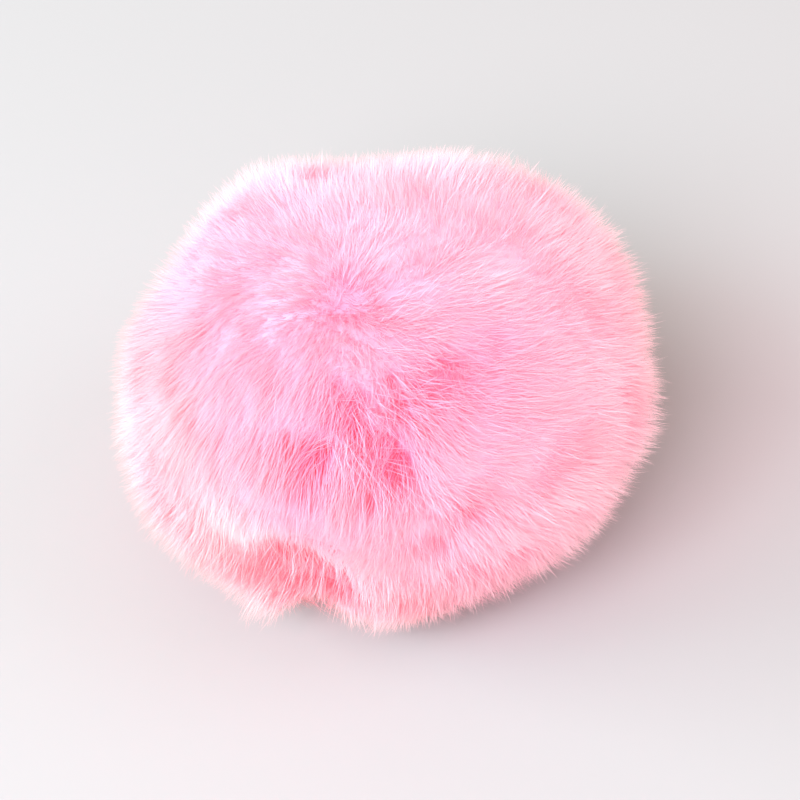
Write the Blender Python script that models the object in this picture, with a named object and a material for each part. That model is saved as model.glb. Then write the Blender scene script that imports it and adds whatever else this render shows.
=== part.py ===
"""A pom pom of long-pile artificial fur, lying on a table.

One closed ball of pile. Its dense body carries a few hundred locks, each fused to it at the root and
standing apart from its neighbours above. The ball sags a little under its own weight, rests on a small
flat spot, and its lower locks come down to the table around that spot.

Metres, +Z up, X to the right and Y away from someone who looks at the front. The origin is on the table,
under the middle of the ball.
"""

import math
import random

import bmesh
import bpy
from mathutils import Quaternion, Vector

MM = 0.001

# Driving sizes of the whole ball, over the tips of its pile
HALF_WIDTH = 47.0 * MM
HALF_DEPTH = 43.5 * MM
MIDDLE_HEIGHT = 32.0 * MM  # of the ball's middle above the table
RISE = 38.0 * MM  # from the middle to the crown
DROP = 35.5 * MM  # from the middle to where the lowest tips would hang with no table
SQUATNESS = 2.7  # of the lower half: 2 is an ellipse, and more is fuller and squatter

# The dense body that carries the locks
BODY_SHARE = 0.83  # of the way from the middle to the tips
BODY_DROP = 32.6 * MM  # from the middle to where the body's underside would be with no table
FLAT_SPOT = 13.0 * MM  # radius of the flat spot that the ball rests on
CELLS = 7  # locks along each edge of the cube that the ball is divided from
CELL_STRAY = 0.24  # of half a cell, how far its corners stray
ROW_BEND = 0.13  # of the radius, how far the rows of cells wander

# A lock
ROOT_GAP = 0.95 * MM  # between the edge of the lock's cell and its root
MID_SHARE, MID_THICKNESS = 0.48, 0.68  # place along the lock, and width against its root
NECK_SHARE, NECK_THICKNESS = 0.82, 0.33
KNEE = 0.30  # how far a lock stands up before it leans, as a share of its pile
UNEVEN_LENGTH = 0.05  # of the radius, the most that a lock is shorter than its neighbours
UNEVEN_LEAN = 0.14
UNEVEN_TWIST = 30  # degrees that a lock's sides turn towards its tip
TABLE_CLEARANCE = 0.05 * MM  # under a lock's sides; only its tip touches the table

# The front is described as it is seen from this far above the table: a place on the ball has a clock
# angle round the line of sight, anticlockwise from the right, and a tilt towards the eye.
SEEN_FROM = math.radians(48)

# Swellings and dents in the outline: how far the tips stand out (share of the radius)
LOBES = [
    # name, clock_deg, tilt_deg, amount, spread_deg
    ("upper right shoulder", 48, 5, 0.080, 22),
    ("right brow", 22, 0, 0.035, 12),
    ("right cheek", -11, 0, 0.050, 12),
    ("crown parting", 95, 5, -0.100, 11),
    ("upper left shoulder", 117, 5, 0.045, 12),
    ("left notch", 148, 0, -0.130, 12),
    ("left hip", -150, 5, 0.045, 15),
    ("lower left dent", -133, 5, -0.060, 8),
    ("lower left hang", -114, 4, 0.050, 10),
    ("curtain of the overhang", -122, 48, 0.045, 13),
    ("hollow under the overhang", -112, 24, -0.100, 12),
    ("gap beside the tongue", -98, 6, -0.090, 6),
    ("front tongue", -86, 14, 0.040, 9),
    ("lower right", -66, 5, -0.060, 18),
    ("back swelling", 60, -55, 0.035, 20),
    ("back dent", 130, -50, -0.035, 16),
    ("back foot", -150, -50, 0.025, 18),
]

# How the pile lies: it parts at the whorl and leans away from it, and it droops
WHORL = (122, 63)  # clock and tilt, degrees
WHORL_LEAN, WHORL_REACH = 0.85, 42  # lean there as a tangent, and how far it carries (degrees)
FAR_LEAN = 0.30  # away from the whorl over the rest of the ball
DROOP = 0.55
LEFT_FALL = (178, 38, 0.55, 34)  # clock, tilt, extra droop, spread (degrees)
STANDING = (-35, 76, 0.85, 24)  # clock, tilt, share of the lean lost, spread: tips face the eye

# The underside's locks are short: they come straight down, a little outwards, and end on the table
UNDER_FROM, UNDER_FULL = 0.60, 0.84  # how steeply below the middle the underside starts
UNDER_SPLAY = 0.15  # of the radius there

PINK = (0.965, 0.42, 0.60, 1.0)


def smooth(low, high, value):
    """0 below low, 1 above high, and an even curve between."""
    t = min(max((value - low) / (high - low), 0.0), 1.0)
    return t * t * (3 - 2 * t)


def tangent(vector, direction):
    """The part of a vector that lies along the ball's surface."""
    return vector - vector.project(direction)


def facing(clock_deg, tilt_deg):
    """The unit direction at a clock angle, tilted towards the eye."""
    clock, tilt = math.radians(clock_deg), math.radians(tilt_deg)
    right = Vector((1, 0, 0))
    up = Vector((0, math.sin(SEEN_FROM), math.cos(SEEN_FROM)))
    eye = Vector((0, -math.cos(SEEN_FROM), math.sin(SEEN_FROM)))
    round_edge = right * math.cos(clock) + up * math.sin(clock)
    return round_edge * math.cos(tilt) + eye * math.sin(tilt)


def nearness(direction, clock_deg, tilt_deg, spread_deg):
    """1 at a place on the ball, falling away over the spread."""
    away = direction.angle(facing(clock_deg, tilt_deg))
    return math.exp(-((away / math.radians(spread_deg)) ** 2))


def swelling(direction):
    """How far the pile stands out there, against the plain ball."""
    return 1 + sum(
        amount * nearness(direction, clock, tilt, spread)
        for _, clock, tilt, amount, spread in LOBES
    )


def ball_point(direction, share):
    """The point in a direction from the ball's middle, at a share of the way to the tips."""
    reach = share * swelling(direction)
    rise = RISE * reach
    fuller = 1.0
    if direction.z < 0:
        pile = (share - BODY_SHARE) / (1 - BODY_SHARE)
        rise = BODY_DROP + (DROP - BODY_DROP) * pile
        level = max(math.hypot(direction.x, direction.y), 1e-6)
        fuller = (1 - (-direction.z) ** SQUATNESS) ** (1 / SQUATNESS) / level
    return Vector(
        (
            direction.x * fuller * HALF_WIDTH * reach,
            direction.y * fuller * HALF_DEPTH * reach,
            max(MIDDLE_HEIGHT + direction.z * rise, 0.0),
        )
    )


def underside(direction):
    """0 on the ball's sides and 1 under it."""
    return smooth(UNDER_FROM, UNDER_FULL, -direction.z)


def lean(direction):
    """The way that the pile leans off the ball's surface, as a tangent vector."""
    whorl = facing(*WHORL)
    from_whorl = direction.angle(whorl)
    away = tangent(direction - whorl, direction).normalized()
    parting = WHORL_LEAN * math.exp(-((from_whorl / math.radians(WHORL_REACH)) ** 2)) + FAR_LEAN
    parting *= smooth(0, math.radians(12), from_whorl)
    clock, tilt, extra, spread = LEFT_FALL
    droop = DROOP + extra * nearness(direction, clock, tilt, spread)
    clock, tilt, lost, spread = STANDING
    kept = 1 - lost * nearness(direction, clock, tilt, spread)
    return (away * parting + tangent(Vector((0, 0, -1)), direction) * droop) * kept


def divided_ball(chance):
    """The dense body: a ball divided into even four-sided cells, one for each lock.

    Each vertex is paired with its direction from the ball's middle.
    """
    bm = bmesh.new()
    bmesh.ops.create_cube(bm, size=2.0)
    bmesh.ops.subdivide_edges(bm, edges=bm.edges[:], cuts=CELLS - 1, use_grid_fill=True)
    directions = {}
    for vertex in bm.verts:
        # Equal angles between the divisions make the cells nearly equal
        even = Vector([math.tan(part * math.pi / 4) for part in vertex.co]).normalized()
        bend = Vector([math.sin(3 * even[(axis + 1) % 3] + axis) for axis in range(3)]) * ROW_BEND
        stray = Vector([chance.uniform(-1, 1) for _ in range(3)]) * CELL_STRAY / CELLS
        loose = smooth(-0.85, -0.70, even.z)
        direction = (even + tangent(bend + stray, even) * loose).normalized()
        directions[vertex.index] = direction
        vertex.co = ball_point(direction, BODY_SHARE)
        if direction.z < 0 and math.hypot(vertex.co.x, vertex.co.y) < FLAT_SPOT:
            vertex.co.z = 0.0
    bm.normal_update()
    return bm, directions


def lock_line(root, direction, chance):
    """A lock's middle line: its root, a knee above it, and its tip out on the ball's surface."""
    uneven = Vector([chance.uniform(-1, 1) for _ in range(3)]) * UNEVEN_LEAN
    lying = lean(direction) + tangent(uneven, direction)
    tip_direction = (direction + lying * (1 - BODY_SHARE)).normalized()
    tip = ball_point(tip_direction, 1 - chance.uniform(0, UNEVEN_LENGTH))
    stub = Vector((root.x * (1 + UNDER_SPLAY), root.y * (1 + UNDER_SPLAY), 0.0))
    tip = tip.lerp(stub, underside(direction))
    stand = (ball_point(direction, 1.0) - root) * KNEE * (1 - underside(direction))
    return root, root.lerp(tip, 0.5) + stand, tip


def along(line, share):
    """A point on the lock's middle line and the way that it runs there."""
    root, knee, tip = line
    point = root * (1 - share) ** 2 + knee * 2 * share * (1 - share) + tip * share**2
    way = (knee - root) * (1 - share) + (tip - knee) * share
    return point, way.normalized()


def raise_lock(bm, face, direction, chance):
    """Draws a four-sided lock out of one inset cell, to a point."""
    root = face.calc_center_median()
    normal = face.normal.copy()
    line = lock_line(root, direction, chance)
    corners = [vertex.co - root for vertex in face.verts]
    twist = math.radians(chance.uniform(-UNEVEN_TWIST, UNEVEN_TWIST))
    for share, thickness in ((MID_SHARE, MID_THICKNESS), (NECK_SHARE, NECK_THICKNESS)):
        centre, way = along(line, share)
        face = bmesh.ops.extrude_discrete_faces(bm, faces=[face])["faces"][0]
        bow = Quaternion().slerp(normal.rotation_difference(way), 1 - underside(direction))
        turn = bow @ Quaternion(normal, twist * share)
        ring = [turn @ corner * thickness for corner in corners]
        lowest = min(offset.z for offset in ring)
        centre.z = max(centre.z, TABLE_CLEARANCE - lowest)
        for vertex, offset in zip(face.verts, ring):
            vertex.co = centre + offset
    point = bmesh.ops.poke(bm, faces=[face])["verts"][0]
    point.co = line[2]


def rests_flat(face):
    return all(vertex.co.z == 0.0 for vertex in face.verts)


def fur_ball():
    """The whole pom pom: the body, and one lock on each cell that isn't pressed on the table."""
    chance = random.Random(7)
    bm, directions = divided_ball(chance)
    cells = [face for face in bm.faces if not rests_flat(face)]
    middles = [
        sum((directions[vertex.index] for vertex in cell.verts), Vector()).normalized()
        for cell in cells
    ]
    bmesh.ops.inset_individual(bm, faces=cells, thickness=ROOT_GAP, use_even_offset=True)
    for cell, middle in zip(cells, middles):
        raise_lock(bm, cell, middle, chance)
    bmesh.ops.triangulate(bm, faces=bm.faces[:])
    centre_over_origin(bm)
    return bm


def centre_over_origin(bm):
    """Puts the middle of the ball's footprint over the origin."""
    for axis in (0, 1):
        places = [vertex.co[axis] for vertex in bm.verts]
        middle = (min(places) + max(places)) / 2
        for vertex in bm.verts:
            vertex.co[axis] -= middle


def fur_material():
    material = bpy.data.materials.new("pink_fur")
    material.use_nodes = True
    shader = material.node_tree.nodes["Principled BSDF"]
    shader.inputs["Base Color"].default_value = PINK
    shader.inputs["Roughness"].default_value = 0.9
    shader.inputs["Metallic"].default_value = 0.0
    material.diffuse_color = PINK
    return material


def add_piece(name, bm, material):
    mesh = bpy.data.meshes.new(name)
    bm.to_mesh(mesh)
    bm.free()
    mesh.materials.append(material)
    mesh.shade_smooth()
    mesh.set_sharp_from_angle(angle=math.radians(35))
    piece = bpy.data.objects.new(name, mesh)
    bpy.context.scene.collection.objects.link(piece)
    return piece


def main():
    for old in list(bpy.data.objects):
        bpy.data.objects.remove(old, do_unlink=True)
    add_piece("fur_ball", fur_ball(), fur_material())


main()
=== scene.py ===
"""The looks of a pom pom of long-pile artificial fur: dense pile, many hairs, floor, light and camera."""

import math

import bmesh
import bpy
import numpy as np
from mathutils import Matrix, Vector


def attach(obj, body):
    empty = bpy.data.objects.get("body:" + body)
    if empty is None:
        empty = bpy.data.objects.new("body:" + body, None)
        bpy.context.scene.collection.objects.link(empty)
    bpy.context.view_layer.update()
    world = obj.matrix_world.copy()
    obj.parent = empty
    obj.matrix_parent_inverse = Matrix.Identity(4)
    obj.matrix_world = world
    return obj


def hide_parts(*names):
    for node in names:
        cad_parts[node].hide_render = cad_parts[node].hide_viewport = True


MM = 0.001
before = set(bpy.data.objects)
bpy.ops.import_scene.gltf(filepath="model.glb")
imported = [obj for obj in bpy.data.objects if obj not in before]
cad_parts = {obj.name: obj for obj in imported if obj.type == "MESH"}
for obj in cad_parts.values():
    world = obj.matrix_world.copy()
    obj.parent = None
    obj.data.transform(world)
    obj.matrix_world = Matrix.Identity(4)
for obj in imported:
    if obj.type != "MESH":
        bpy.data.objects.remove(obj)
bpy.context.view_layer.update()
chance = np.random.default_rng(11)

# The ball, over the tips of its pile
HALF_WIDTH = 47.0 * MM
HALF_DEPTH = 43.5 * MM
MIDDLE_HEIGHT = 32.0 * MM  # of the ball's middle above the table
RISE = 38.0 * MM  # from the middle to the crown
DROP = 35.5 * MM  # from the middle to where the lowest tips would hang with no table
BODY_DROP = 32.6 * MM  # the same for the body of the ball
SQUATNESS = 2.7  # of the lower half: 2 is an ellipse, and more is fuller and squatter

# How far out the parts of the pile lie, as a share of the way from the middle to the tips
BODY_SHARE = 0.83
FELT_SHARE = 0.885
ROOT_SHARE = 0.74
ROOT_BELOW = 0.03  # a root lies at least this far under the dense pile's surface
TIP_SHARE = 1.025

# The front is described as it is seen from this far above the table: a place on the ball has a clock
# angle round the line of sight, anticlockwise from the right, and a tilt towards the eye.
SEEN_FROM_DEG = 48
SEEN_FROM = math.radians(SEEN_FROM_DEG)

# Swellings and dents in the outline: how far the tips stand out (share of the radius)
LOBES = [
    # name, clock_deg, tilt_deg, amount, spread_deg
    ("upper right shoulder", 48, 5, 0.080, 22),
    ("right brow", 22, 0, 0.035, 12),
    ("right cheek", -11, 0, 0.050, 12),
    ("crown parting", 95, 5, -0.088, 13),
    ("upper left shoulder", 115, 5, 0.030, 12),
    ("left notch", 151, 2, -0.160, 11),
    ("left notch, farther back", 148, -20, -0.080, 15),
    ("left hip", -150, 5, 0.045, 15),
    ("lower left fringe", -128, 0, 0.030, 14),
    ("lower left hang", -112, 1, 0.120, 5.5),
    ("curtain of the overhang", -122, 50, 0.050, 13),
    ("hollow under the overhang", -110, 25, -0.165, 12),
    ("gap beside the tongue", -103.5, 3, -0.165, 5),
    ("gap, farther under", -105, -13, -0.150, 8),
    ("front tongue", -91, 12, 0.055, 7),
    ("lower right", -66, 5, -0.060, 18),
    ("back swelling", 60, -55, 0.035, 20),
    ("back dent", 130, -50, -0.035, 16),
    ("back foot", -150, -50, 0.025, 18),
]
LUMP_HEIGHT = 0.003  # of the soft unevenness all over (share of the radius)
LUMP_REACH = 12  # across one lump, degrees
LUMP_WAVES = 30

# How the pile lies: it leans away from a whorl, spreads from the middle of the front, and droops
WHORL = (119, 68)  # clock and tilt, degrees
WHORL_LEAN, WHORL_REACH, WHORL_CALM = 0.50, 26, 16
SPREAD_FROM = (40, 85)
SPREAD_LEAN, SPREAD_CALM = 0.34, 30
SPREAD_ENDS = (80, 120)  # where the spreading fades out, degrees from its middle
DROOP = 0.14
FALLS = [
    # where the pile falls forward and down: clock_deg, tilt_deg, how steeply, spread_deg
    (178, 52, 1.05, 32),
    (-132, 40, 1.20, 22),
]
DRIFTS = [
    # smooth sideways swirls: waves, reach_deg, amount
    (12, 45, 0.14),
    (24, 14, 0.16),
]

# A belt across the front where the pile stands on end and parts into tufts: clock and tilt of its course
BELT = [(-132, 66), (-140, 80), (-86, 67), (-108, 76), (-62, 83), (12, 76)]
BELT_SPREAD = 8.5
# Painted shade: the spread of the deeper colour between the belt's tufts
BELT_PAINTED_SHADE_SPREAD = 10  # of the deeper colour between its tufts

# Pits between the tufts, open down to the saturated pink near the roots, which is painted shade
PITS = [
    # name, clock_deg, tilt_deg, width_deg, depth
    ("left pit, upper end", -128, 66, 2.4, 1.0),
    ("left pit, middle", -124, 61.5, 2.6, 1.0),
    ("left pit, lower end", -121, 56, 2.0, 0.8),
    ("beside the left pit", -137, 62, 1.6, 0.35),
    ("right of the left pit", -122, 68, 1.6, 0.5),
    ("middle pit, upper end", -83, 75, 2.0, 0.8),
    ("middle pit, middle", -80, 71, 2.2, 0.85),
    ("middle pit, lower end", -79, 67, 1.8, 0.7),
    ("pit above, upper end", -146, 82, 1.6, 0.5),
    ("pit above, middle", -124, 78, 1.8, 0.7),
    ("pit above, lower end", -116, 77, 1.6, 0.4),
    ("small pit between", -96, 60, 1.8, 0.7),
    ("fleck left of the pit above", -138, 75, 1.4, 0.5),
    ("fleck in the middle", -40, 82, 1.5, 0.40),
    ("fleck left of the middle", -154, 84.3, 1.4, 0.45),
    ("fleck farther left", 175, 80.5, 1.3, 0.30),
    ("fleck above the middle", 50, 86.5, 1.4, 0.40),
    ("fleck right of the middle", 6, 82, 1.4, 0.40),
    ("fleck lower on the right", -14, 78, 1.3, 0.35),
    ("right end of the belt", 26, 61, 2.2, 0.35),
    ("whorl, upper end", 107, 62, 2.0, 0.25),
    ("whorl, middle", 118, 68, 2.4, 0.30),
    ("gap low on the right", -71, 43, 2.4, 0.5),
    ("gap above it", -58, 50, 2.4, 0.5),
]
PIT_REACH = 1.7  # how far a pit's depth spreads, in its widths
PIT_PARTING = 1.6  # how far round a pit the hair is moved aside, in its widths

# Patches painted paler or deeper than round about: painted light and painted shade
PAINTED_LIGHT_AND_SHADE_PATCHES = [
    # name, clock_deg, tilt_deg, paler by, spread_deg
    ("low on the right", -52, 5, 0.45, 18),
    ("upper right", 40, 30, -0.13, 25),
    ("gap low on the right", -62, 49, -0.18, 7),
    ("edge of the overhang", -117, 52, -0.30, 13),
    ("left of the recess", -127, 26, 0.45, 10),
    ("lower left hang", -113, 4, 0.38, 9),
    ("tuft between the pits", -112, 69, 0.28, 6),
    ("upper left", 114, 24, -0.13, 16),
    ("left of the crown", 113, 17, 0.32, 6),
    ("left, below the notch", 173, 34, 0.12, 9),
    ("bottom of the front", -78, 4, 0.22, 12),
    ("crown", 86, 14, 0.12, 8),
    ("right of the belt", -4, 61, -0.30, 15),
    ("right end of the belt", 18, 60, -0.18, 9),
    ("below the belt", -45, 73, -0.20, 9),
    ("right of the whorl", 97, 66, -0.36, 9),
    ("left", 179, 53, -0.24, 10),
    ("left of the overhang", -145, 48, -0.30, 11),
    ("left edge", 176, 12, 0.06, 16),
]

# How pale the colour is, from 0 to 1, with painted light on the right and round the edge, and where a painted
# warm tint comes in
PALE_LEAST, PAINTED_LIGHT_RIGHT, PAINTED_RIM_LIGHT = 0.18, 0.32, 0.50  # everywhere, more towards the right, more at the edge
# Where the painted warm tint against the lamps' bluish light is strongest
WARMEST = (-140, 0)  # clock and tilt
WARM_FROM_TO = (0.25, 0.85)  # the cosines of the angle off it over which the warmth comes in
PALE_SCATTER, WARM_SCATTER = 0.03, 0.06  # from strand to strand

# Where the dense pile is thinner under long loose hair: clock and tilt of places there
LOOSE = [
    (-128, 2), (-117, 14), (-112, 1), (-96, 16), (-92, 6),
    (-84, 4), (-74, 0), (-64, 2), (-54, 3), (-44, 3),
]
LOOSE_SPREAD = 8

# Under the overhang at the lower left the pile is short and lies lower, and its colour is deepened as painted
# shade: clock and tilt of places there
RECESS = [
    (-127, 40), (-118, 44), (-111, 41), (-107, 33), (-103, 24), (-100, 13), (-104, 4),
    (-117, 35), (-124, 31), (-113, 26), (-119, 22), (-108, 16), (-112, 12),
]
RECESS_SPREAD = 8
RECESS_EDGE = (0.35, 0.65)  # the nearness over which the recess begins

# How much lower the dense pile's surface is, as a share of the radius
BELT_HOLLOW, PIT_HOLLOW, RECESS_HOLLOW = 0.07, 0.06, 0.03
LOOSE_THINNER, LOW_FRONT_THINNER = 0.08, 0.055  # at most, with its colour left as it was

# The pile's order: strands gather in wisps, and wisps in locks. The belt's own values come on top there.
LOCKS = 700
WISPS = 4800
STRANDS = 32  # in a wisp
LOCK_SCATTER, WISP_SCATTER = 0.03, 0.02  # from an even spacing
LOCK_STRAY = 0.13  # how far a lock leans its own way
WISP_STRAY, BELT_STRAY = 0.13, 0.22  # how far a wisp leans its own way
BELT_UPRIGHT = 0.85  # how much less the pile leans in the belt
LOCK_PULL, BELT_PULL = 0.26, 0.10  # how far a wisp's tip is drawn to the middle of its lock
WISP_SPREAD = 0.60  # how wide a wisp is at its roots, against the space it has
GATHERED, BELT_TIGHTER = 0.66, 0.30  # how wide it is at its tips against its roots, and how much less
FRIZZ = 0.050  # how far each strand's tip strays (share of the radius)
BELT_WILD = 0.6  # how much more frizzy and uneven the belt is

# How much shorter hairs are, as a share of the radius
LOCK_SHORT = WISP_SHORT = 0.03  # at most
STRAND_SHORT = 0.060  # as a rule
OUTER_SHORT = 0.016  # for the outer strands of a wisp
BELT_SHORT, RECESS_SHORT, PIT_SHORT = 0.045, 0.05, 0.09

# The form of a strand
STRAND_HALF_WIDTH = 0.049 * MM
WIDTHS = (0.7, 1.25)  # the thinnest and the thickest against that
KNEE = 0.58  # where along a strand it is widest
KNEE_LIFT = 0.10  # how far it bows outwards there, against its standing height
LEAST_KNEE, LEAST_TIP = 0.2 * MM, 0.1 * MM  # heights above the table

# The colour map: up it, 0 is deep down in the pile and 1 at the tips, and the colour deepens downwards as
# painted shade. Across it, the colour goes from deep to pale, with painted light, once for each step of the
# painted warm tint.
DEEP_SHARE = 0.70  # how far out in the pile the map begins
WARMTHS = 8
PALE_LIMITS = (0.03, 0.97)  # inside each step, so that none touches the next
MAP_HALF_WIDTH = 0.0005  # of a strand, across the map

# How much lower on the map hairs lie, so that they are deeper in colour: by chance, and as painted shade in the
# belt, recess, whorl and pits
STRAND_TONE, WISP_TONE = 0.015, 0.021  # by chance, either way
# Painted shade in the belt, the recess, the whorl and the pits
BELT_PAINTED_SHADE, RECESS_PAINTED_SHADE, WHORL_PAINTED_SHADE, PIT_PAINTED_SHADE = 0.012, 0.106, 0.012, 0.060
WHORL_SPREAD = 8
# Painted shade of hair in a pit
PIT_PAINTED_SHADE_ALONG = (0.26, 0.22, 0.06)  # at the root, knee and tip of hair in a pit
# Painted shade on some of the belt's wisps, picked at random, deepest at the root
BELT_MOTTLED_SHADE, BELT_MOTTLED_SHADE_ALONG = 0.45, (1.0, 0.8, 0.3)  # of the belt's wisps, at most, and at root, knee and tip
BELT_MOTTLED_SHADE_RARITY = 2.5
# Painted shade of the dense pile in the pits and along the belt
FELT_PIT_PAINTED_SHADE, FELT_BELT_PAINTED_SHADE = 0.34, 0.06  # of the dense pile


def smooth(low, high, value):
    t = np.clip((value - low) / (high - low), 0.0, 1.0)
    return t * t * (3 - 2 * t)


def unit(vectors):
    return vectors / np.maximum(np.linalg.norm(vectors, axis=-1, keepdims=True), 1e-9)


def tangent(vectors, directions):
    """The part of each vector that lies along the ball's surface."""
    return vectors - directions * (vectors * directions).sum(-1, keepdims=True)


def facing(clock_deg, tilt_deg):
    """The unit direction at a clock angle, tilted towards the eye."""
    clock, tilt = math.radians(clock_deg), math.radians(tilt_deg)
    right = np.array([1.0, 0.0, 0.0])
    up = np.array([0.0, math.sin(SEEN_FROM), math.cos(SEEN_FROM)])
    eye = np.array([0.0, -math.cos(SEEN_FROM), math.sin(SEEN_FROM)])
    round_edge = right * math.cos(clock) + up * math.sin(clock)
    return round_edge * math.cos(tilt) + eye * math.sin(tilt)


def nearness(directions, clock_deg, tilt_deg, spread_deg):
    """1 at a place on the ball, falling away over the spread."""
    away = np.arccos(np.clip(directions @ facing(clock_deg, tilt_deg), -1, 1))
    return np.exp(-((away / math.radians(spread_deg)) ** 2))


def near_any(directions, places, spread_deg):
    """1 at the nearest of some places on the ball, falling away over the spread."""
    return np.max([nearness(directions, clock, tilt, spread_deg) for clock, tilt in places], axis=0)


def in_belt(directions):
    return near_any(directions, BELT, BELT_SPREAD)


def in_recess(directions):
    return smooth(*RECESS_EDGE, near_any(directions, RECESS, RECESS_SPREAD))


def pit_depth(directions):
    """How near each direction is to the middle of a pit, from 0 to the pit's depth."""
    return np.max(
        [depth * nearness(directions, clock, tilt, PIT_REACH * width) for _, clock, tilt, width, depth in PITS],
        axis=0,
    )


def swelling(directions):
    """How far the pile stands out there, against the plain ball."""
    return 1 + sum(
        amount * nearness(directions, clock, tilt, spread) for _, clock, tilt, amount, spread in LOBES
    )


def ball_point(directions, share):
    """The points in these directions from the ball's middle, at a share of the way to the tips."""
    reach = share * swelling(directions)
    below = directions[..., 2] < 0
    level = np.maximum(np.hypot(directions[..., 0], directions[..., 1]), 1e-6)
    depth = np.clip(-directions[..., 2], 0, 1)
    fuller = np.where(below, (1 - depth**SQUATNESS) ** (1 / SQUATNESS) / level, 1.0)
    past_body = (share - BODY_SHARE) / (1 - BODY_SHARE)
    rise = np.where(below, BODY_DROP + (DROP - BODY_DROP) * past_body, RISE * reach)
    points = directions * np.stack([fuller * HALF_WIDTH * reach, fuller * HALF_DEPTH * reach, rise], -1)
    points[..., 2] = np.maximum(points[..., 2] + MIDDLE_HEIGHT, 0.0)
    return points


def away_from(directions, clock_deg, tilt_deg, calm_deg):
    """Unit tangents away from a place, fading to nothing close to it, and the distances in degrees."""
    place = facing(clock_deg, tilt_deg)
    distance = np.degrees(np.arccos(np.clip(directions @ place, -1, 1)))
    way = unit(tangent(directions - place, directions))
    return way * smooth(0, calm_deg, distance)[:, None], distance


def downward(directions, forward_deg):
    """Tangents down the ball's surface, turned forward by some degrees."""
    forward = math.radians(forward_deg)
    way = [0.0, -math.sin(forward), -math.cos(forward)]
    return tangent(np.broadcast_to(way, directions.shape), directions)


def lean(directions):
    """The way that the pile leans off the ball's surface, as tangent vectors."""
    from_whorl, distance = away_from(directions, *WHORL, WHORL_CALM)
    lying = from_whorl * WHORL_LEAN * np.exp(-((distance / WHORL_REACH) ** 2))[:, None]
    from_front, distance = away_from(directions, *SPREAD_FROM, SPREAD_CALM)
    lying += from_front * SPREAD_LEAN * (1 - smooth(*SPREAD_ENDS, distance))[:, None]
    fall = sum(amount * nearness(directions, clock, tilt, spread) for clock, tilt, amount, spread in FALLS)
    lying += downward(directions, 0) * DROOP
    return lying + downward(directions, 90 - SEEN_FROM_DEG) * fall[:, None]


def even_directions(count):
    """Directions spread evenly over a sphere, on a golden spiral."""
    step = np.arange(count) + 0.5
    height = 1 - 2 * step / count
    turn = step * math.pi * (3 - math.sqrt(5))
    flat = np.sqrt(1 - height**2)
    return np.stack([flat * np.cos(turn), flat * np.sin(turn), height], -1)


def astray(directions, amount):
    """The directions, each moved aside at random by up to about the amount."""
    shape = directions.shape
    return unit(directions + tangent(chance.normal(size=shape), directions) * amount)


def drift(directions, waves, reach_deg):
    """A smooth random sideways drift of the pile, whose swirls are about one reach across."""
    axes = unit(chance.normal(size=(waves, 3)))
    phases = chance.uniform(0, 2 * math.pi, waves)
    pushes = chance.normal(size=(waves, 3)) * math.sqrt(2 / waves)
    swings = np.cos(directions @ axes.T * (180 / reach_deg) + phases)
    return tangent(swings @ pushes, directions)


LUMP_AXES = unit(chance.normal(size=(LUMP_WAVES, 3)))
LUMP_PHASES = chance.uniform(0, 2 * math.pi, LUMP_WAVES)


def lumps(directions):
    """The soft unevenness of the pile."""
    waves = np.cos(directions @ LUMP_AXES.T * (180 / LUMP_REACH) + LUMP_PHASES)
    return LUMP_HEIGHT * waves.sum(-1) / math.sqrt(LUMP_WAVES / 2)


def felt_share(directions):
    """How far out the dense pile reaches: deeper in the belt, the pits and the recess."""
    level = FELT_SHARE + lumps(directions) - BELT_HOLLOW * in_belt(directions)
    return level - PIT_HOLLOW * pit_depth(directions) - RECESS_HOLLOW * in_recess(directions)


def looseness(directions):
    """How much thinner the dense pile is, as a share, under long loose hair and low on the front."""
    low_front = smooth(0.10, 0.55, -directions[:, 2]) * smooth(-0.1, 0.4, -directions[:, 1])
    loose = LOOSE_THINNER * near_any(directions, LOOSE, LOOSE_SPREAD)
    return np.maximum(loose, LOW_FRONT_THINNER * low_front)


def outness_of(share):
    """How far up the colour map a share of the way out lies."""
    return np.clip((share - DEEP_SHARE) / (1 - DEEP_SHARE), 0.0, 1.0)


def paleness_with_painted_light(directions):
    """How pale the colour is: the dye's own at the least, with painted light round the edge and on the right
    and painted light and shade in patches, so deepest in the middle of the front.
    """
    from_middle = 1 - np.clip(directions @ facing(0, 90), 0, 1) ** 2
    patches = sum(
        amount * nearness(directions, clock, tilt, spread) for _, clock, tilt, amount, spread in PAINTED_LIGHT_AND_SHADE_PATCHES
    )
    # Painted light towards the right and round the edge, and painted light and shade in patches, on top of the
    # dye's own
    return PALE_LEAST + PAINTED_LIGHT_RIGHT * directions[:, 0] + PAINTED_RIM_LIGHT * from_middle + patches


def painted_warmth(directions):
    """How much of the painted warm tint, against the lamps' bluish light, the pile has: most at the lower left.
    """
    return smooth(*WARM_FROM_TO, directions @ facing(*WARMEST))


def map_across(warm, pale):
    """Where each hair's or face's colour lies across the colour map: its step of painted warm tint, and how
    pale it is with painted light.
    """
    step = np.clip(np.round(warm * (WARMTHS - 1)), 0, WARMTHS - 1)
    return (step + np.clip(pale, *PALE_LIMITS)) / WARMTHS


def part_round_pits(directions):
    """The directions, moved out of the pits so that each is left open."""
    moved = directions.copy()
    for _, clock, tilt, width_deg, depth in PITS:
        width = math.radians(width_deg)
        aside = tangent(directions - facing(clock, tilt), directions)
        away = np.linalg.norm(aside, axis=-1, keepdims=True)
        push = width * depth * np.exp(-((away / (PIT_PARTING * width)) ** 2))
        moved += aside / np.maximum(away, 1e-6) * push
    return unit(moved)


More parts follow.
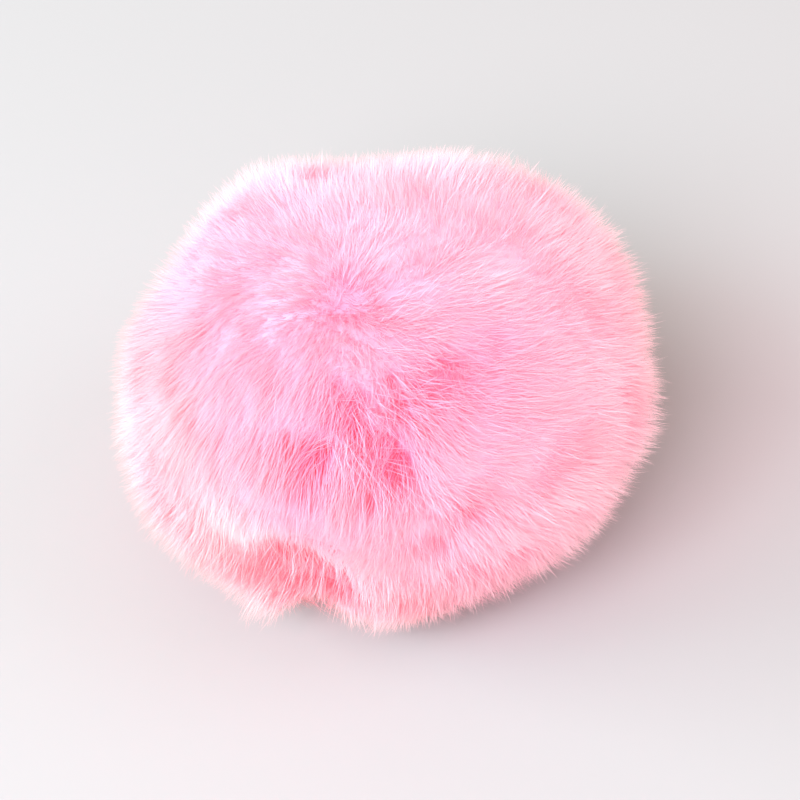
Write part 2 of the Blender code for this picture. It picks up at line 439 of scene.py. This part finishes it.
def lay_wisps():
    """Each wisp's place, the directions of its root and tip, and how much shorter its hair is."""
    locks = astray(even_directions(LOCKS), LOCK_SCATTER)
    lock_short = chance.uniform(0, LOCK_SHORT, LOCKS)
    lock_stray = chance.normal(size=(LOCKS, 3)) * LOCK_STRAY
    wisps = astray(even_directions(WISPS), WISP_SCATTER)
    home = np.argmax(wisps @ locks.T, axis=1)
    belt = in_belt(wisps)

    swirls = sum(drift(wisps, waves, reach) * amount for waves, reach, amount in DRIFTS)
    stray = lock_stray[home] + chance.normal(size=(WISPS, 3)) * (WISP_STRAY + BELT_STRAY * belt)[:, None]
    lying = lean(wisps) * (1 - BELT_UPRIGHT * belt)[:, None] + swirls + tangent(stray, wisps)
    roots = unit(wisps - lying * (1 - ROOT_SHARE))
    pull = (LOCK_PULL + BELT_PULL * belt)[:, None]
    tips = unit(wisps * (1 - pull) + locks[home] * pull)
    short = lock_short[home] + chance.uniform(0, WISP_SHORT, WISPS)
    return wisps, roots, tips, short + BELT_SHORT * belt + RECESS_SHORT * in_recess(wisps)


def dye_strands(wisps, roots, tips, root_share, tip_share):
    """Each strand's places up the colour map at its root, knee and tip, and its place across it."""
    belt, each = in_belt(wisps), (WISPS, STRANDS)
    tone = STRAND_TONE * chance.normal(size=each) + WISP_TONE * chance.normal(size=(WISPS, 1))
    # Painted shade: deeper colour in the belt, the recess, the pits and the whorl
    shade = BELT_PAINTED_SHADE * belt + RECESS_PAINTED_SHADE * in_recess(wisps) + PIT_PAINTED_SHADE * pit_depth(wisps)
    shade += WHORL_PAINTED_SHADE * nearness(wisps, *WHORL, WHORL_SPREAD)
    tone -= shade[:, None]
    # Across the map: how pale, with painted light, and the painted warm tint against the lamps' bluish light
    pale = paleness_with_painted_light(wisps)[:, None] + PALE_SCATTER * chance.normal(size=each)
    warm = painted_warmth(wisps)[:, None] + WARM_SCATTER * chance.normal(size=each)
    # Painted shade on some of the belt's wisps, at random
    mottled_shade = BELT_MOTTLED_SHADE * belt * chance.uniform(0, 1, WISPS) ** BELT_MOTTLED_SHADE_RARITY

    # Up the map the colour deepens towards the roots: painted shade of the deep pile
    outness = outness_of(np.stack([root_share, root_share + (tip_share - root_share) * KNEE, tip_share], -1))
    # Painted shade of hair in a pit, most at the root
    outness -= np.stack([pit_depth(roots), pit_depth(unit(roots + tips)), pit_depth(tips)], -1) * PIT_PAINTED_SHADE_ALONG
    outness -= np.repeat(mottled_shade, STRANDS)[:, None] * BELT_MOTTLED_SHADE_ALONG
    outness = np.clip(outness + tone.reshape(-1, 1), 0.02, 0.98)
    return outness, map_across(warm, pale).reshape(-1)


def grow_strands():
    """Each strand's root, knee and tip, with its places up and across the colour map."""
    wisps, wisp_root, wisp_tip, short = lay_wisps()
    belt = in_belt(wisps)
    wild = (1 + BELT_WILD * belt)[:, None]
    spread = WISP_SPREAD * math.sqrt(4 * math.pi / WISPS)
    around = tangent(chance.normal(size=(WISPS, STRANDS, 3)), wisps[:, None])
    gathered = (GATHERED - BELT_TIGHTER * belt)[:, None, None]
    frizz = chance.normal(size=around.shape) * FRIZZ * wild[..., None]
    roots = part_round_pits(unit(wisp_root[:, None] + around * spread).reshape(-1, 3))
    tips = part_round_pits(unit(wisp_tip[:, None] + around * spread * gathered + frizz).reshape(-1, 3))

    outer = np.minimum((around**2).sum(-1) / 2, 3)
    uneven = STRAND_SHORT * np.abs(chance.normal(size=(WISPS, STRANDS))) + OUTER_SHORT * outer
    tip_share = (TIP_SHARE - short[:, None] - uneven * wild).reshape(-1)
    tip_share += lumps(tips) - PIT_SHORT * pit_depth(tips)
    root_share = np.minimum(felt_share(roots) - looseness(roots) - ROOT_BELOW, ROOT_SHARE)

    root, tip = ball_point(roots, root_share), ball_point(tips, tip_share)
    stand = ball_point(roots, np.ones(len(roots))) - root
    knee = root + (tip - root) * KNEE + stand * KNEE_LIFT
    knee[:, 2] = np.maximum(knee[:, 2], LEAST_KNEE)
    tip[:, 2] = np.maximum(tip[:, 2], LEAST_TIP)
    return root, knee, tip, *dye_strands(wisps, roots, tips, root_share, tip_share)


def centring(points):
    """The shift that brings the middle of the ball's box over the origin."""
    middle = (points.min(axis=0) + points.max(axis=0)) / 2
    return np.array([-middle[0], -middle[1], 0.0])


def strand_mesh(name, root, knee, tip, outness, across):
    """A joined mesh of closed three-sided strands: a point, a ring of three at the knee, and a point."""
    count = len(root)
    way = unit(tip - root)
    outward = unit(root - np.array([0.0, 0.0, MIDDLE_HEIGHT])) + 0.05 * chance.normal(size=way.shape)
    side = unit(np.cross(way, outward))
    other = np.cross(side, way)
    width = STRAND_HALF_WIDTH * chance.uniform(*WIDTHS, count)[:, None]
    corners = [root]
    for along_side, along_other in ((1, 0.2), (-1, 0.2), (0, -0.5)):
        corners.append(knee + (side * along_side + other * along_other) * width)
    corners.append(tip)
    points = np.stack(corners, 1)
    points[..., 2] = np.maximum(points[..., 2], 0.0)
    pattern = np.array([(0, 1, 2), (0, 2, 3), (0, 3, 1), (4, 2, 1), (4, 3, 2), (4, 1, 3)])
    faces = (pattern[None] + 5 * np.arange(count)[:, None, None]).reshape(-1)

    mesh = bpy.data.meshes.new(name)
    mesh.vertices.add(5 * count)
    mesh.vertices.foreach_set("co", points.astype(np.float32).reshape(-1))
    mesh.loops.add(len(faces))
    mesh.loops.foreach_set("vertex_index", faces.astype(np.int32))
    mesh.polygons.add(len(faces) // 3)
    mesh.polygons.foreach_set("loop_start", np.arange(0, len(faces), 3, dtype=np.int32))
    mesh.update(calc_edges=True)
    mesh.shade_flat()

    wide = across[:, None] + np.array([0, -1, 0, 1, 0]) * MAP_HALF_WIDTH
    places = np.stack([wide, outness[:, [0, 1, 1, 1, 2]]], -1).reshape(-1, 2)[faces]
    layer = mesh.uv_layers.new(name="OFBake")
    layer.uv.foreach_set("vector", places.astype(np.float32).reshape(-1))
    return mesh


def add_piece(name, mesh, material):
    mesh.materials.append(material)
    piece = bpy.data.objects.new(name, mesh)
    bpy.context.scene.collection.objects.link(piece)
    return piece


def wear(piece):
    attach(piece, "root")
    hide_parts("fur_ball")


# Colours of the pile, linear: the dye's pink, deepening from tip to root as painted shade, and paler as painted
# light
TIP_DEEP = (0.97, 0.37, 0.45, 1)
TIP_PALE = (0.97, 0.70, 0.73, 1)
MIDDLE_DEEP = (0.97, 0.345, 0.51, 1)
MIDDLE_PALE = (0.97, 0.67, 0.78, 1)
ROOT_DEEP = (0.95, 0.21, 0.39, 1)
ROOT_PALE = (0.95, 0.24, 0.41, 1)
# A painted warm tint, with less blue, against the lamps' bluish light
PAINTED_WARM_TINT = (1.0, 0.98, 0.885, 1)
ROOT_TO_MIDDLE, MIDDLE_TO_TIP = (0.12, 0.62), (0.50, 1.00)  # where each gives way to the next, up the map


def math_node(tree, operation, *values):
    node = tree.nodes.new("ShaderNodeMath")
    node.operation = operation
    for socket, value in zip(node.inputs, values):
        if isinstance(value, (int, float)):
            socket.default_value = value
        else:
            tree.links.new(value, socket)
    return node.outputs[0]


def mix_colour(tree, factor, first, second, blend="MIX"):
    node = tree.nodes.new("ShaderNodeMix")
    node.data_type = "RGBA"
    node.blend_type = blend
    for name, value in (("Factor_Float", factor), ("A_Color", first), ("B_Color", second)):
        socket = next(s for s in node.inputs if s.identifier == name)
        if hasattr(value, "is_linked"):
            tree.links.new(value, socket)
        else:
            socket.default_value = value
    return next(s for s in node.outputs if s.identifier == "Result_Color")


def soft_step(tree, value, low, high):
    node = tree.nodes.new("ShaderNodeMapRange")
    node.interpolation_type = "SMOOTHSTEP"
    tree.links.new(value, node.inputs["Value"])
    node.inputs["From Min"].default_value = low
    node.inputs["From Max"].default_value = high
    return node.outputs["Result"]


def pile_colour_with_painted_light_group():
    """The colour of the pile: deeper towards the roots as painted shade, paler with painted light, and with a
    painted warm tint against the lamps' bluish light.
    """
    group = bpy.data.node_groups.new("PileColourWithPaintedLight", "ShaderNodeTree")
    for name in ("Outness", "Paleness", "PaintedWarmth"):
        group.interface.new_socket(name, in_out="INPUT", socket_type="NodeSocketFloat")
    group.interface.new_socket("Colour", in_out="OUTPUT", socket_type="NodeSocketColor")
    given = group.nodes.new("NodeGroupInput")
    made = group.nodes.new("NodeGroupOutput")
    out, pale, warm = (given.outputs[name] for name in ("Outness", "Paleness", "PaintedWarmth"))
    root = mix_colour(group, pale, ROOT_DEEP, ROOT_PALE)
    middle = mix_colour(group, pale, MIDDLE_DEEP, MIDDLE_PALE)
    tip = mix_colour(group, pale, TIP_DEEP, TIP_PALE)
    # Painted shade: the colour deepens from tip to root
    inner = mix_colour(group, soft_step(group, out, *ROOT_TO_MIDDLE), root, middle)
    outer = mix_colour(group, soft_step(group, out, *MIDDLE_TO_TIP), inner, tip)
    # The painted warm tint against the lamps' bluish light
    warmed = mix_colour(group, warm, outer, PAINTED_WARM_TINT, "MULTIPLY")
    group.links.new(warmed, made.inputs["Colour"])
    return group


def fur_material(painted_pile_group):
    """Soft hair: its colour, with painted shade, painted light and a painted warm tint, runs along each
    strand's own map.
    """
    material = bpy.data.materials.new("pink_fur_hair")
    material.use_nodes = True
    tree = material.node_tree
    shader = tree.nodes["Principled BSDF"]
    places = tree.nodes.new("ShaderNodeUVMap")
    places.uv_map = "OFBake"
    split = tree.nodes.new("ShaderNodeSeparateXYZ")
    tree.links.new(places.outputs["UV"], split.inputs[0])
    stepped = math_node(tree, "MULTIPLY", split.outputs["X"], WARMTHS)
    step = math_node(tree, "FLOOR", stepped)
    colour = tree.nodes.new("ShaderNodeGroup")
    colour.node_tree = painted_pile_group
    tree.links.new(split.outputs["Y"], colour.inputs["Outness"])
    tree.links.new(math_node(tree, "FRACT", stepped), colour.inputs["Paleness"])
    # The painted warm tint, one step of it for each step across the map
    tree.links.new(math_node(tree, "DIVIDE", step, WARMTHS - 1), colour.inputs["PaintedWarmth"])
    tree.links.new(colour.outputs["Colour"], shader.inputs["Base Color"])
    shader.inputs["Roughness"].default_value = 0.62
    shader.inputs["Specular IOR Level"].default_value = 0.2
    shader.inputs["Sheen Weight"].default_value = 0.15
    shader.inputs["Sheen Roughness"].default_value = 0.45
    shader.inputs["Sheen Tint"].default_value = (1.0, 0.80, 0.90, 1.0)
    return material


def dense_pile(material, shift):
    """The ball of pile too dense to see into, which the hairs stand out of."""
    bm = bmesh.new()
    bmesh.ops.create_icosphere(bm, subdivisions=6, radius=1.0)
    directions = unit(np.array([vertex.co for vertex in bm.verts]))
    share = felt_share(directions)
    places = ball_point(directions, share - looseness(directions)) + shift
    for vertex, place in zip(bm.verts, places):
        vertex.co = place

    layer = bm.loops.layers.uv.new("OFBake")
    # Painted shade of the dense pile in the pits and along the belt
    shade = FELT_PIT_PAINTED_SHADE * pit_depth(directions)
    shade += FELT_BELT_PAINTED_SHADE * near_any(directions, BELT, BELT_PAINTED_SHADE_SPREAD)
    # Painted shade: the deeper the dense pile's surface lies, the deeper its colour
    outness = np.maximum(outness_of(share) - shade, 0.02)
    # How pale, with painted light, and the painted warm tint against the lamps' bluish light
    pale, warm = paleness_with_painted_light(directions), painted_warmth(directions)
    for face in bm.faces:
        corners = [vertex.index for vertex in face.verts]
        across = map_across(np.full(3, warm[corners].mean()), pale[corners])
        for loop, place in zip(face.loops, across):
            loop[layer].uv = (place, outness[loop.vert.index])
    mesh = bpy.data.meshes.new("dense_pile")
    bm.to_mesh(mesh)
    bm.free()
    mesh.shade_smooth()
    wear(add_piece("dense_pile", mesh, material))


def fur_pieces(material, strands, shift):
    """The hairs, in pieces of the ball's sides so that none grows too large."""
    root, knee, tip, outness, across = strands
    root, knee, tip = root + shift, knee + shift, tip + shift
    heading = np.arctan2(root[:, 1], root[:, 0])
    order = np.argsort(heading, kind="stable")
    names = ("fur_back_left", "fur_front_left", "fur_front", "fur_right", "fur_back")
    for name, part in zip(names, np.array_split(order, len(names))):
        mesh = strand_mesh(name, root[part], knee[part], tip[part], outness[part], across[part])
        wear(add_piece(name, mesh, material))


def floor():
    bm = bmesh.new()
    bmesh.ops.create_grid(bm, x_segments=1, y_segments=1, size=1.5)
    mesh = bpy.data.meshes.new("floor")
    bm.to_mesh(mesh)
    bm.free()
    material = bpy.data.materials.new("pale_floor")
    material.use_nodes = True
    shader = material.node_tree.nodes["Principled BSDF"]
    shader.inputs["Base Color"].default_value = (0.43, 0.435, 0.443, 1)
    shader.inputs["Roughness"].default_value = 0.7
    shader.inputs["Specular IOR Level"].default_value = 0.2
    add_piece("floor", mesh, material)


LAMP_DISTANCE, LAMP_SIZE = 1.43, 0.90
LAMP_AIM = Vector((0, 0, 30 * MM))
LAMPS = [
    # name, degrees from the front towards the left, degrees above the table, watts, colour
    ("low window", 90, 20, 18.2, (0.78, 1.0, 0.967)),
    ("window", 60, 35, 10.0, (0.25, 1.0, 1.0)),
    ("soft box", 30, 45, 24.0, (1.0, 0.817, 0.905)),
    ("card on the right", -90, 45, 4.4, (0.96, 0.87, 1.0)),
]
ROOM_COLOUR, ROOM_STRENGTH = (1.0, 0.81, 0.72, 1), 0.84
BOUNCES = 12  # light goes deep into pale fur


def lamp(name, azimuth_deg, height_deg, power, colour):
    around, above = math.radians(azimuth_deg), math.radians(height_deg)
    level = math.cos(above)
    way = Vector((-math.sin(around) * level, -math.cos(around) * level, math.sin(above)))
    data = bpy.data.lights.new(name, "AREA")
    data.shape = "DISK"
    data.size = LAMP_SIZE
    data.energy = power
    data.color = colour
    light = bpy.data.objects.new(name, data)
    light.location = LAMP_AIM + way * LAMP_DISTANCE
    light.rotation_euler = (-way).to_track_quat("-Z", "Y").to_euler()
    bpy.context.scene.collection.objects.link(light)


def studio():
    scene = bpy.context.scene
    scene.view_settings.view_transform = "Standard"
    world = bpy.data.worlds.new("soft_room")
    world.use_nodes = True
    room = world.node_tree.nodes["Background"]
    room.inputs["Color"].default_value = ROOM_COLOUR
    room.inputs["Strength"].default_value = ROOM_STRENGTH
    scene.world = world
    scene.cycles.max_bounces = BOUNCES
    scene.cycles.diffuse_bounces = BOUNCES
    for values in LAMPS:
        lamp(*values)


CAMERA_DISTANCE, LENS = 0.42, 105.4
AIM_RIGHT, AIM_UP = 1.6 * MM, 17.3 * MM  # of the middle of the picture, from the middle of the ball's foot


def camera():
    up = Vector((0, math.sin(SEEN_FROM), math.cos(SEEN_FROM)))
    eye = Vector((0, -math.cos(SEEN_FROM), math.sin(SEEN_FROM)))
    data = bpy.data.cameras.new("camera")
    data.lens = LENS
    view = bpy.data.objects.new("camera", data)
    view.location = Vector((AIM_RIGHT, 0, 0)) + up * AIM_UP + eye * CAMERA_DISTANCE
    view.rotation_euler = (-eye).to_track_quat("-Z", "Y").to_euler()
    bpy.context.scene.collection.objects.link(view)
    bpy.context.scene.camera = view


camera()
studio()
floor()
fur = fur_material(pile_colour_with_painted_light_group())
strands = grow_strands()
shift = centring(np.concatenate(strands[:3]))
dense_pile(fur, shift)
fur_pieces(fur, strands, shift)
